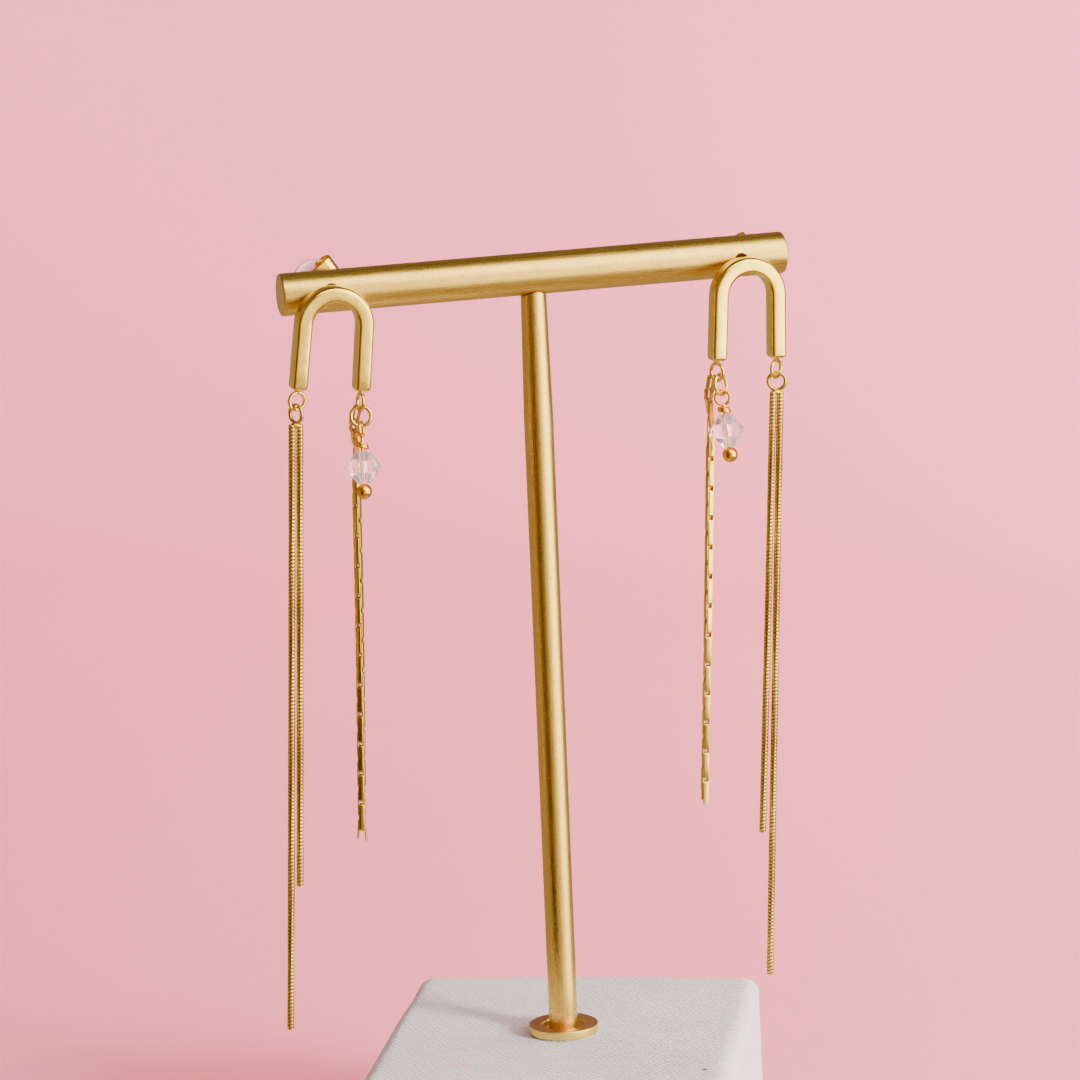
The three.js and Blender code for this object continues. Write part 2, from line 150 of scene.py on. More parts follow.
def make_lights():
    """Soft boxes that light no matt surface, and washes that gloss doesn't reflect."""
    middle = (0, 0, 90)
    boxes = [
        light_towards("window", 72, 14, 900, 920, 1100, 19, (1.0, 0.96, 0.84), middle),
        light_towards("front_box", 32, 14, 900, 430, 1100, 2.2, (1.0, 0.93, 0.78), middle),
        light_towards("sky_box", 45, 58, 900, 900, 450, 6.5, (1.0, 0.96, 0.84), middle),
    ]
    for box in boxes:
        box.visible_diffuse = False
    washes = [
        light_towards("key", 58, 15, 900, 200, 200, 30, (1.0, 0.99, 0.97), middle),
        light_towards("fill", 40, 30, 900, 900, 600, 6, (1.0, 0.99, 0.98), middle),
        light_towards("backdrop_left", -35, 52, 700, 500, 700, 8, (1.0, 0.97, 0.97), (-350, 900, 200)),
        light_towards("backdrop_right", 30, 42, 700, 500, 700, 30, (1.0, 0.96, 0.94), (520, 800, -60)),
    ]
    for wash in washes:
        wash.visible_glossy = False


# ---- Meshes ----


class Shape:
    """Vertices and faces of one piece, gathered in millimetres."""

    def __init__(self):
        self.points = []
        self.faces = []

    def rows(self, rows, closed=False, wrap=True, cap_start=False, cap_end=False):
        """Skins a list of equally long rows of points. wrap joins each row's end to its start."""
        first = len(self.points)
        count = len(rows[0])
        for row in rows:
            self.points.extend(tuple(point) for point in row)
        across = range(count if wrap else count - 1)
        for index in range(len(rows) if closed else len(rows) - 1):
            low = first + index * count
            high = first + ((index + 1) % len(rows)) * count
            for column in across:
                after = (column + 1) % count
                self.faces.append((low + column, low + after, high + after, high + column))
        if cap_start:
            self.faces.append(tuple(first + column for column in reversed(range(count))))
        if cap_end:
            last = first + (len(rows) - 1) * count
            self.faces.append(tuple(last + column for column in range(count)))
        return self

    def moved(self, matrix):
        self.points = [tuple(matrix @ Vector(point)) for point in self.points]
        return self

    def add(self, other):
        first = len(self.points)
        self.points.extend(other.points)
        self.faces.extend(tuple(first + index for index in face) for face in other.faces)
        return self


def level_ring(radius, height, sides):
    angles = [TURN * index / sides for index in range(sides)]
    return [(radius * math.cos(a), radius * math.sin(a), height) for a in angles]


def turned_shape(profile, sides):
    """A closed or axis-to-axis profile of (radius, height) turned about Z, listed bottom up."""
    rows = [level_ring(radius, height, sides) for radius, height in profile]
    on_axis = profile[0][0] < 1e-6
    if on_axis:
        rows = rows[1:-1]
    return Shape().rows(rows, closed=not on_axis, cap_start=on_axis, cap_end=on_axis)


def rounded(corners, round_off, steps=4):
    """Rounds the inner corners of an open profile of (radius, height) points by a quadratic arc."""
    result = [corners[0]]
    for before, corner, after in zip(corners, corners[1:], corners[2:]):
        here = Vector(corner)
        back = Vector(before) - here
        on = Vector(after) - here
        start = here + back.normalized() * min(round_off, back.length / 2)
        end = here + on.normalized() * min(round_off, on.length / 2)
        for index in range(steps + 1):
            t = index / steps
            point = start * (1 - t) ** 2 + here * 2 * t * (1 - t) + end * t ** 2
            result.append(tuple(point))
    return result + [corners[-1]]


def wire(route, radius, sides=12, closed=False, round_ends=True):
    """A round wire along a list of points."""
    points = np.array([tuple(point) for point in route], dtype=float)
    if closed:
        along = np.roll(points, -1, axis=0) - np.roll(points, 1, axis=0)
    else:
        along = np.gradient(points, axis=0)
    along /= np.linalg.norm(along, axis=1)[:, None]
    side = np.cross(along[0], (0.3, 0.2, 1.0) if abs(along[0][2]) < 0.9 else (1.0, 0.1, 0.0))
    side /= np.linalg.norm(side)
    angles = np.arange(sides) * TURN / sides
    section = np.stack([np.cos(angles), np.sin(angles)], axis=1) * radius
    stations = []
    for point, ahead in zip(points, along):
        side = side - ahead * side.dot(ahead)
        side /= np.linalg.norm(side)
        other = np.cross(ahead, side)
        stations.append((point, ahead, side, other))
    rows = [point + section[:, :1] * side + section[:, 1:] * other
            for point, _, side, other in stations]
    if closed:
        return Shape().rows([list(row) for row in rows], closed=True)
    if round_ends:
        rows = end_rows(stations[0], section, -1) + rows + end_rows(stations[-1], section, 1)
    return Shape().rows([list(row) for row in rows], cap_start=True, cap_end=True)


def end_rows(station, section, sign, steps=3):
    """Rows that round off a wire's end."""
    point, ahead, side, other = station
    radius = np.abs(section).max()
    rows = []
    for index in range(1, steps + 1):
        angle = index / (steps + 1) * math.pi / 2
        centre = point + ahead * sign * radius * math.sin(angle)
        rows.append(centre + (section[:, :1] * side + section[:, 1:] * other) * math.cos(angle))
    return rows if sign > 0 else rows[::-1]


def ring_route(radius, turn=0, steps=64, start=0.0, span=TURN):
    """Points of a ring that stands in the XZ plane and is turned about Z."""
    direction = (math.cos(radians(turn)), math.sin(radians(turn)))
    ends = 0 if span == TURN else 1
    route = []
    for index in range(steps + ends):
        angle = start + span * index / steps
        reach = radius * math.cos(angle)
        route.append((reach * direction[0], reach * direction[1], radius * math.sin(angle)))
    return route


def solid_ring(ring, turn=0):
    return wire(ring_route(ring.radius, turn), ring.wire, 16, closed=True)


def jump_ring(ring, turn, opening_at, opening=5):
    """A ring bent from cut wire, with its two flat ends nearly meeting."""
    gap = radians(opening)
    route = ring_route(ring.radius, turn, 64, radians(opening_at) + gap / 2, TURN - gap)
    return wire(route, ring.wire, 16, round_ends=False)


def shade(mesh, sharp_over=32):
    mesh.shade_smooth()
    mesh.set_sharp_from_angle(angle=radians(sharp_over))


def store(name, shape, place, sharp_over=32):
    """Makes a mesh object from a shape, in metres, with every sharp edge kept sharp."""
    mesh = bpy.data.meshes.new(name)
    mesh.from_pydata(shape.points, [], shape.faces)
    tidy = bmesh.new()
    tidy.from_mesh(mesh)
    bmesh.ops.recalc_face_normals(tidy, faces=tidy.faces)
    tidy.to_mesh(mesh)
    tidy.free()
    mesh.transform(Matrix.Scale(MM, 4) @ place)
    shade(mesh, sharp_over)
    piece = bpy.data.objects.new(name, mesh)
    bpy.context.scene.collection.objects.link(piece)
    return piece


def finished(piece, material, slot, *nodes):
    """Gives a piece its material, hangs it under the root empty and hides the solids of the part that it
    stands for.
    """
    piece.data.materials.clear()
    piece.data.materials.append(material)
    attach(piece, "root")
    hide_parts(*nodes)
    return piece


def cut_through(piece, tools):
    """Cuts the tools' solids out of a piece and removes the tools."""
    for tool in tools:
        cutter = piece.modifiers.new("cut", "BOOLEAN")
        cutter.object = tool
        cutter.solver = "EXACT"
    bpy.context.view_layer.update()
    evaluated = piece.evaluated_get(bpy.context.evaluated_depsgraph_get())
    mesh = bpy.data.meshes.new_from_object(evaluated)
    piece.modifiers.clear()
    piece.data = mesh
    shade(mesh)
    for tool in tools:
        bpy.data.objects.remove(tool)


# ---- Materials ----


class Surface:
    """A material's node tree, with a short call for each kind of node used here."""

    def __init__(self, name, **constants):
        self.material = bpy.data.materials.new(name)
        self.material.use_nodes = True
        self.tree = self.material.node_tree
        self.shader = self.tree.nodes["Principled BSDF"]
        for socket, value in constants.items():
            self.shader.inputs[socket.replace("_", " ")].default_value = value

    def node(self, kind, **settings):
        made = self.tree.nodes.new("ShaderNode" + kind)
        for key, value in settings.items():
            setattr(made, key, value)
        return made

    def feed(self, target, value):
        if isinstance(value, bpy.types.NodeSocket):
            self.tree.links.new(value, target)
        else:
            target.default_value = value

    def set(self, socket, value):
        self.feed(self.shader.inputs[socket], value)

    def place(self, matrix=Matrix.Identity(4), stretch=(1, 1, 1)):
        """The piece's own coordinates in millimetres, then stretched by a factor on each axis."""
        own = self.node("Mapping")
        self.feed(own.inputs["Vector"], self.node("TexCoord").outputs["Object"])
        own.inputs["Scale"].default_value = (1 / MM, 1 / MM, 1 / MM)
        own.inputs["Rotation"].default_value = matrix.to_3x3().inverted().to_euler()
        stretched = self.node("Mapping")
        self.feed(stretched.inputs["Vector"], own.outputs["Vector"])
        stretched.inputs["Scale"].default_value = stretch
        return stretched.outputs["Vector"]

    def noise(self, place, scale, detail=3.0, roughness=0.55):
        made = self.node("TexNoise")
        self.feed(made.inputs["Vector"], place)
        made.inputs["Scale"].default_value = scale
        made.inputs["Detail"].default_value = detail
        made.inputs["Roughness"].default_value = roughness
        return made.outputs["Fac"]

    def dots(self, place, scale):
        made = self.node("TexVoronoi")
        self.feed(made.inputs["Vector"], place)
        made.inputs["Scale"].default_value = scale
        return made.outputs["Distance"]

    def between(self, value, low, high, to_low=0.0, to_high=1.0):
        """Carries a value from one range to another and keeps it inside."""
        made = self.node("MapRange")
        self.feed(made.inputs["Value"], value)
        made.inputs["From Min"].default_value = low
        made.inputs["From Max"].default_value = high
        made.inputs["To Min"].default_value = to_low
        made.inputs["To Max"].default_value = to_high
        return made.outputs["Result"]

    def maths(self, operation, first, second=0.0):
        made = self.node("Math", operation=operation)
        self.feed(made.inputs[0], first)
        self.feed(made.inputs[1], second)
        return made.outputs["Value"]

    def times(self, first, second):
        return self.maths("MULTIPLY", first, second)

    def blend(self, factor, first, second):
        """Mixes two colours."""
        made = self.node("Mix", data_type="RGBA")
        self.feed(made.inputs["Factor"], factor)
        colours = [socket for socket in made.inputs if socket.type == "RGBA"]
        self.feed(colours[0], first if isinstance(first, bpy.types.NodeSocket) else (*first, 1))
        self.feed(colours[1], second if isinstance(second, bpy.types.NodeSocket) else (*second, 1))
        return [socket for socket in made.outputs if socket.type == "RGBA"][0]

    def edges(self, low, high):
        """How far a place stands out as an edge, from the mesh's own curvature."""
        return self.between(self.node("NewGeometry").outputs["Pointiness"], low, high)

    def bump(self, height, distance):
        made = self.node("Bump")
        self.feed(made.inputs["Height"], height)
        made.inputs["Distance"].default_value = distance * MM
        made.inputs["Strength"].default_value = 1.0
        self.set("Normal", made.outputs["Normal"])


def satin_brass(name, matrix, along):
    """Satin brass drawn along one of the piece's own axes, with fine scratches and small pits."""
    surface = Surface(name, Metallic=1.0)
    stretch = [1.0, 1.0, 1.0]
    stretch["XYZ".index(along)] = 0.03
    drawn = surface.place(matrix, stretch)
    plain = surface.place(matrix)
    streaks = surface.noise(drawn, 6, detail=4)
    clouds = surface.noise(plain, 0.25)
    grain = surface.noise(plain, 5, detail=5, roughness=0.75)
    pits = surface.between(surface.dots(plain, 1.1), 0.05, 0.13, 1.0, 0.0)
    colour = surface.blend(surface.between(streaks, 0.3, 0.7), (0.76, 0.45, 0.09), (0.97, 0.66, 0.13))
    colour = surface.blend(surface.between(clouds, 0.35, 0.7, 0.0, 0.4), colour, (0.80, 0.60, 0.12))
    colour = surface.blend(surface.between(grain, 0.42, 0.7, 0.0, 0.5), colour, (0.52, 0.33, 0.05))
    colour = surface.blend(surface.times(pits, 0.7), colour, (0.16, 0.09, 0.02))
    surface.set("Base Color", colour)
    rough = surface.maths("ADD", surface.between(streaks, 0.25, 0.75, 0.2, 0.29),
                          surface.between(grain, 0.3, 0.7, 0.0, 0.09))
    surface.set("Roughness", rough)
    relief = surface.maths("ADD", surface.times(streaks, 0.5), grain)
    surface.bump(surface.maths("SUBTRACT", relief, pits), 0.022)
    return surface.material


def polished_gold(name, light, deep, roughness=0.09):
    """Polished plating: edges painted brighter, partly as worn plating and partly as a painted highlight;
    faint smears and slight hollows.
    """
    surface = Surface(name, Metallic=1.0)
    plain = surface.place()
    smears = surface.noise(plain, 0.9, detail=4)
    tiny = surface.noise(plain, 14, detail=3)
    colour = surface.blend(surface.between(smears, 0.3, 0.7), deep, light)
    # Edges painted brighter: partly worn plating, partly a painted highlight on the rounded edges.
    colour = surface.blend(surface.edges(0.5, 0.62), colour, tuple(min(1, c * 1.12) for c in light))
    surface.set("Base Color", colour)
    smeared = surface.between(smears, 0.35, 0.75, roughness, roughness + 0.08)
    surface.set("Roughness", surface.maths("ADD", smeared, surface.between(tiny, 0.4, 0.7, 0.0, 0.03)))
    hollows = surface.noise(plain, 0.5, detail=1)
    surface.bump(surface.maths("ADD", surface.times(hollows, 3), tiny), 0.012)
    return surface.material


def chain_gold(name):
    """Fine chain plating: crests in the gold colour and painted shade, nearly black, in the grooves."""
    surface = Surface(name, Metallic=1.0)
    plain = surface.place()
    patches = surface.noise(plain, 0.6, detail=3)
    tiny = surface.noise(plain, 18, detail=2)
    crest_over_painted_groove_shade = surface.edges(0.47, 0.54)
    # Painted shade: the grooves, where pointiness is low, are painted nearly black; the crests keep the gold
    # colour.
    colour = surface.blend(crest_over_painted_groove_shade, (0.07, 0.035, 0.006), (0.88, 0.60, 0.10))
    colour = surface.blend(surface.between(patches, 0.35, 0.7, 0.0, 0.3), colour, (0.60, 0.42, 0.08))
    surface.set("Base Color", colour)
    surface.set("Roughness", surface.between(tiny, 0.3, 0.7, 0.16, 0.28))
    surface.bump(tiny, 0.006)
    return surface.material


def cut_crystal(name):
    """Clear cut glass with a breath of lavender, faint polishing marks and tiny grey specks."""
    surface = Surface(name, Transmission_Weight=0.93, IOR=1.42)
    plain = surface.place()
    tint = surface.noise(plain, 0.6)
    specks = surface.between(surface.dots(plain, 0.8), 0.03, 0.07, 1.0, 0.0)
    colour = surface.blend(surface.between(tint, 0.35, 0.65), (0.99, 0.97, 0.98), (0.95, 0.95, 1.0))
    colour = surface.blend(surface.times(specks, 0.5), colour, (0.55, 0.52, 0.56))
    surface.set("Base Color", colour)
    marks = surface.noise(plain, 12, detail=2)
    surface.set("Roughness", surface.between(marks, 0.4, 0.8, 0.0, 0.03))
    surface.bump(marks, 0.0015)
    return surface.material


def clear_plastic(name):
    """Soft clear plastic, slightly milky, with fine moulding marks."""
    surface = Surface(name, Transmission_Weight=0.6, IOR=1.45)
    plain = surface.place()
    milk = surface.noise(plain, 0.7)
    surface.set("Base Color", surface.blend(milk, (0.93, 0.90, 0.94), (0.98, 0.95, 0.96)))
    marks = surface.noise(plain, 7, detail=3)
    surface.set("Roughness", surface.between(marks, 0.3, 0.7, 0.14, 0.28))
    surface.bump(marks, 0.01)
    return surface.material


# Faint marks on the canvas: middle in millimetres, reach, tint, amount.
STAINS = [
    ((-12.5, -17.0, 29.4), 2.4, (0.72, 0.42, 0.36), 0.6),
    ((-19.0, -26.0, 29.1), 4.4, (0.60, 0.46, 0.30), 0.5),
    ((22.5, -18.0, 31.1), 0.6, (0.03, 0.03, 0.03), 1.0),
    ((12.0, -28.0, 30.6), 0.25, (0.1, 0.1, 0.1), 0.9),
]


def canvas(name, thread=0.5):
    """Off-white plain weave: raised threads over and under, with painted shade in the low parts of the
    weave, slubs, and a few faint marks.
    """
    surface = Surface(name, Metallic=0.0)
    flat = surface.node("Mapping")
    surface.feed(flat.inputs["Vector"], surface.node("TexCoord").outputs["UV"])
    wander = surface.noise(surface.place(), 0.35, detail=2)
    split = surface.node("SeparateXYZ")
    surface.feed(split.inputs["Vector"], flat.outputs["Vector"])
    shift = surface.times(wander, 0.9)
    waves = []
    for axis in ("X", "Y"):
        along = surface.maths("ADD", split.outputs[axis], shift)
        waves.append(surface.maths("SINE", surface.times(along, math.pi / thread)))
    weave = surface.times(waves[0], waves[1])
    slubs = surface.noise(surface.place(stretch=(0.35, 2.4, 1)), 1.1, detail=3)
    fibres = surface.noise(surface.place(), 7, detail=4, roughness=0.75)
    raised = surface.between(weave, -1.0, 1.0)
    clouds = surface.noise(surface.place(), 0.06, detail=3)
    # Painted shade: the low parts of the weave are painted dark grey and the raised threads pale, varied by
    # the fibres' own tone.
    uneven = surface.times(raised, surface.between(fibres, 0.35, 0.6, 0.25, 1.0))
    colour = surface.blend(uneven, (0.26, 0.265, 0.26), (0.90, 0.905, 0.90))
    colour = surface.blend(surface.between(slubs, 0.35, 0.7, 0.0, 0.35), colour, (0.74, 0.735, 0.72))
    colour = surface.blend(surface.between(clouds, 0.4, 0.7, 0.0, 0.3), colour, (0.66, 0.65, 0.63))
    for middle, reach, tint, amount in STAINS:
        away = surface.node("VectorMath", operation="DISTANCE")
        surface.feed(away.inputs[0], surface.place())
        away.inputs[1].default_value = middle
        ragged = surface.between(fibres, 0.2, 0.8, -reach / 2, reach / 2)
        spread = surface.maths("ADD", away.outputs["Value"], ragged)
        mark = surface.between(spread, reach * 0.35, reach, amount, 0.0)
        colour = surface.blend(mark, colour, tint)
    surface.set("Base Color", colour)
    surface.set("Roughness", surface.between(fibres, 0.2, 0.8, 0.86, 1.0))
    height = surface.maths("ADD", raised, surface.times(slubs, 0.9))
    surface.bump(surface.maths("ADD", height, surface.times(fibres, 0.8)), 0.16)
    return surface.material


def studio_paint(name, colour):
    """The plain matt floor and backdrop."""
    surface = Surface(name, Roughness=0.9)
    cloud = surface.noise(surface.place(), 0.004)
    surface.set("Base Color", surface.blend(cloud, colour, tuple(c * 0.97 for c in colour)))
    return surface.material


# ---- Stand ----


def floor_depth(x):
    """How far below its top the leaning block meets the floor, along its own height, at x."""
    return (BLOCK.height + math.sin(radians(LEAN)) * x) / math.cos(radians(LEAN))


def block_point(x, y, z):
    """Rounds the block's upright and upper edges; the top is at z = 0."""
    half = Vector((BLOCK.width / 2, BLOCK.depth / 2, 0))
    edge = BLOCK.edge
    inner = Vector((max(-half.x + edge, min(half.x - edge, x)),
                    max(-half.y + edge, min(half.y - edge, y)),
                    min(-edge, z)))
    out = Vector((x, y, z)) - inner
    point = inner + out.normalized() * edge if out.length > 1e-6 else Vector((x, y, z))
    settle = min(1.0, -z / 4 + 1.0) if z > -4 else max(0.0, min(1.0, (floor_depth(x) + z) / 6))
    wave = noise.noise(point * 0.05) * 0.5 + noise.noise(point * 0.17) * 0.12
    if out.length > 1e-6:
        point += out.normalized() * wave * settle * 0.5
    return point


def base_block():
    """The canvas-covered block, with softly uneven faces and a level underside."""
    bend = [BLOCK.edge * math.tan(radians(angle)) for angle in (0, 11.25, 22.5, 33.75, 45)]

    def spaced(half, count):
        flat = half - BLOCK.edge
        inner = list(np.linspace(-flat, flat, count))[1:-1]
        return [-flat - reach for reach in reversed(bend)] + inner + [flat + reach for reach in bend]

    xs = spaced(BLOCK.width / 2, 40)
    ys = spaced(BLOCK.depth / 2, 44)
    levels = 16

    def side_rows(perimeter):
        upper = [[block_point(x, y, -BLOCK.edge + reach) for x, y in perimeter]
                 for reach in reversed(bend)]
        lower = []
        for fraction in (index / levels for index in range(1, levels + 1)):
            lower.append([block_point(x, y, -BLOCK.edge - fraction * (floor_depth(x) - BLOCK.edge))
                          for x, y in perimeter])
        return upper + lower

    low_x, high_x, low_y, high_y = xs[0], xs[-1], ys[0], ys[-1]
    round_trip = ([(x, low_y) for x in xs[:-1]] + [(high_x, y) for y in ys[:-1]]
                  + [(x, high_y) for x in reversed(xs[1:])] + [(low_x, y) for y in reversed(ys[1:])])
    shape = Shape().rows(side_rows(round_trip), cap_end=True)
    shape.rows([[block_point(x, y, 0) for x in xs] for y in ys], wrap=False)
    piece = store("base_block_look", shape, Matrix.Identity(4), sharp_over=60)
    mesh = piece.data
    joined = bmesh.new()
    joined.from_mesh(mesh)
    bmesh.ops.remove_doubles(joined, verts=joined.verts, dist=0.001 * MM)
    bmesh.ops.recalc_face_normals(joined, faces=joined.faces)
    weave = joined.loops.layers.uv.new("weave")
    for face in joined.faces:
        normal = [abs(value) for value in face.normal]
        axes = [axis for axis in range(3) if axis != normal.index(max(normal))]
        for loop in face.loops:
            loop[weave].uv = [loop.vert.co[axis] / MM for axis in axes]
    joined.to_mesh(mesh)
    joined.free()
    mesh.transform(Matrix.Scale(MM, 4) @ LEAN_AT_TOP @ Matrix.Scale(1 / MM, 4))
    shade(mesh, 60)
    return finished(piece, canvas("canvas_weave"), "canvas", "base_block")


def base_collar():
    radius, thick = COLLAR.radius, COLLAR.thickness
    hole = STEM.radius + 0.05
    profile = rounded([
        (hole, 0.05),
        (radius, 0.05),
        (radius, thick),
        (COLLAR.groove_radius, thick),
        (COLLAR.groove_radius - 0.15, thick - COLLAR.groove_depth),
        (hole + 0.25, thick - COLLAR.groove_depth),
        (hole, thick - COLLAR.groove_depth - 0.2),
    ], 0.16)
    piece = store("base_collar_look", turned_shape(profile, 128), LEAN_AT_TOP)
    return finished(piece, collar_brass("collar_brass"), "brushed_brass", "base_collar")


def collar_brass(name):
    """Brass whose flat top is painted copper, a painted reflection of the warm room, while the rim stays
    bright gold; rough turning marks.
    """
    surface = Surface(name, Metallic=1.0)
    plain = surface.place(LEAN_AT_TOP)
    grain = surface.noise(plain, 4, detail=5, roughness=0.7)
    facing = surface.node("SeparateXYZ")
    surface.feed(facing.inputs["Vector"], surface.node("NewGeometry").outputs["Normal"])
    # Painted reflection: faces that point up get a copper tone, and the sides stay bright gold.
    top = surface.between(facing.outputs["Z"], 0.8, 0.98)
    colour = surface.blend(top, (0.98, 0.74, 0.16), (0.92, 0.44, 0.20))
    colour = surface.blend(surface.between(grain, 0.4, 0.75, 0.0, 0.6), colour, (0.62, 0.32, 0.12))
    surface.set("Base Color", colour)
    surface.set("Roughness", surface.between(grain, 0.3, 0.7, 0.25, 0.5))
    surface.bump(grain, 0.03)
    return surface.material


def stand_stem():
    """The stem, with its upper end shaped to the bar's underside."""
    sides = 128
    angles = [TURN * index / sides for index in range(sides)]
    shoulder = STEM.height - BAR.radius - STEM.taper

    def saddle(radius, angle):
        across = radius * math.sin(angle - radians(BAR.turn))
        along = radius * math.cos(angle - radians(BAR.turn))
        reach = math.sqrt((BAR.radius + 0.06) ** 2 - across ** 2)
        return STEM.height - reach + along * math.tan(radians(BAR.tilt))

    top = STEM.top_radius + (STEM.radius - STEM.top_radius) * BAR.radius / (BAR.radius + STEM.taper)
    rows = [level_ring(STEM.radius, height, sides) for height in (-STEM.sunk, 0, 40, shoulder - 0.6)]
    rows.append(level_ring(STEM.radius - 0.008, shoulder, sides))
    rows.append(level_ring(STEM.radius - 0.03, shoulder + 1.4, sides))
    for radius in (top, top - 0.12):
        drop = 0.1 if radius == top else 0.0
        rows.append([(radius * math.cos(a), radius * math.sin(a), saddle(radius, a) - drop)
                     for a in angles])
    rows.append([(0.4 * math.cos(a), 0.4 * math.sin(a), saddle(0.4, a)) for a in angles])
    shape = Shape().rows(rows, cap_start=True, cap_end=True)
    piece = store("stand_stem_look", shape, LEAN_AT_TOP)
    brass = satin_brass("stem_brass", LEAN_AT_TOP, "Z")
    return finished(piece, brass, "brushed_brass", "stand_stem")


def rod_along_y(radius, half_length, sides=48):
    rows = [[(radius * math.cos(TURN * i / sides), y, radius * math.sin(TURN * i / sides))
             for i in range(sides)] for y in (-half_length, half_length)]
    return Shape().rows(rows, cap_start=True, cap_end=True)


def stand_crossbar():
    """The bar, with softly broken end edges and a hole across it for each post."""
    end = BAR.length / 2
    profile = rounded([(0, -end), (BAR.radius, -end), (BAR.radius, end), (0, end)], BAR.chamfer, 5)
    lying = turn_about("Y", 90)
    bar = turned_shape(profile, 160).moved(lying)
    piece = store("stand_crossbar_look", bar, BAR_PLACE)
    tools = []
    for row in EARRINGS:
        hole = rod_along_y(POST_HOLE, 2 * BAR.radius).moved(step(x=row.along - BAR.shift, z=row.hole_rise))
        tools.append(store("hole_tool", hole, BAR_PLACE))
    cut_through(piece, tools)
    brass = satin_brass("bar_brass", BAR_PLACE, "X")
    return finished(piece, brass, "brushed_brass", "stand_crossbar")


# ---- Arch, post and eyes ----

ARCH_BACK = -(BAR.radius + BAR.gap)
ARCH_MIDDLE = ARCH_BACK - ARCH.depth / 2
SPLAY = radians(ARCH.splay)
LEG_DROP = ARCH.height - ARCH.width / 2 - ARCH.radius * (1 - math.sin(SPLAY))
LEG_LENGTH = LEG_DROP / math.cos(SPLAY)
EYE_DROP = EYE.neck + EYE.radius + EYE.wire


def leg_point(side, offset, down):
    """A point of the arch's outline, offset outwards from its middle line, down along a leg."""
    radius = ARCH.radius + offset
    x = radius * math.cos(SPLAY) + down * math.sin(SPLAY)
    z = radius * math.sin(SPLAY) - down * math.cos(SPLAY)
    return side * x, z


def leg_end(side):
    x, z = leg_point(side, 0, LEG_LENGTH)
    return Vector((x, ARCH_MIDDLE, z - ARCH.radius))


def rounded_section(width, depth, radius, steps=6):
    """Points of a rectangle with round corners, as (across, deep), about its middle."""
    points = []
    for corner, (sx, sy) in enumerate(((1, 1), (-1, 1), (-1, -1), (1, -1))):
        centre = (sx * (width / 2 - radius), sy * (depth / 2 - radius))
        for index in range(steps + 1):
            angle = (corner + index / steps) * math.pi / 2
            points.append((centre[0] + radius * math.cos(angle), centre[1] + radius * math.sin(angle)))
    return points


def arch_body():
    """The arch's bar swept up one leg, round the bend and down the other, with rounded leg ends."""
    section = rounded_section(ARCH.width, ARCH.depth, ARCH.round)

    def row_at(inset, outline):
        shrink_x = 1 - inset / (ARCH.width / 2)
        shrink_y = 1 - inset / (ARCH.depth / 2)
        row = []
        for across, deep in section:
            x, z = outline(across * shrink_x)
            row.append((x, ARCH_MIDDLE + deep * shrink_y, z - ARCH.radius))
        return row

    def leg_rows(side):
        rows = []
        for index in range(9):
            angle = index / 8 * math.pi / 2 * 0.98
            inset = ARCH.lip * (1 - math.sin(angle))
            down = LEG_LENGTH - ARCH.lip * (1 - math.cos(angle))
            rows.append(row_at(inset, lambda offset: leg_point(side, offset, down)))
        for down in (LEG_LENGTH * 0.7, LEG_LENGTH * 0.4, LEG_LENGTH * 0.15):
            rows.append(row_at(0, lambda offset: leg_point(side, offset, down)))
        return rows

    bend_steps = 72
    bend = []
    for index in range(bend_steps + 1):
        angle = SPLAY + (math.pi - 2 * SPLAY) * index / bend_steps
        bend.append(row_at(0, lambda offset: ((ARCH.radius + offset) * math.cos(angle),
                                              (ARCH.radius + offset) * math.sin(angle))))
    rows = leg_rows(1) + bend + leg_rows(-1)[::-1]
    return Shape().rows(rows, cap_start=True, cap_end=True)


def eye_on_leg(side, turn):
    end = leg_end(side)
    neck = turned_shape(rounded([
        (0, -EYE_DROP + EYE.radius - 0.1),
        (EYE.neck_radius * 0.8, -EYE_DROP + EYE.radius - 0.1),
        (EYE.neck_radius * 1.5, 0.02),
        (EYE.neck_radius * 1.5, 0.3),
        (0, 0.3),
    ], 0.1), 24)
    eye = solid_ring(EYE, turn).moved(step(z=-EYE_DROP))
    return eye.add(neck).moved(step(end.x, end.y, end.z))


def post(row):
    """The ear post, with a blunt tip and the shallow groove that a nut clicks into."""
    tip = ARCH_BACK + POST.length
    groove = tip - 1.6
    profile = rounded([
        (0, ARCH_BACK - 0.3),
        (POST.radius, ARCH_BACK - 0.3),
        (POST.radius, groove - 0.3),
        (POST.radius - 0.08, groove),
        (POST.radius, groove + 0.3),
        (POST.radius, tip - 0.25),
        (POST.radius * 0.5, tip),
        (0, tip),
    ], 0.12)
    return turned_shape(profile, 24).moved(turn_about("Z", row.post_turn) @ turn_about("X", -90))


def arch(row, place, material):
    shape = arch_body()
    shape.add(post(row))
    shape.add(eye_on_leg(row.snake_leg, row.snake_eye_turn))
    shape.add(eye_on_leg(-row.snake_leg, row.drop_eye_turn))
    piece = store(f"arch_{row.name}_look", shape, place, sharp_over=40)
    return finished(piece, material, "polished_gold", f"arch_{row.name}")


# ---- Ear nut and disc ----

NUT_PLACE = BAR.radius + BAR.gap + NUT.behind_bar
DISC_PLACE = NUT_PLACE + 2 * NUT.roll + NUT.strip + BAR.gap


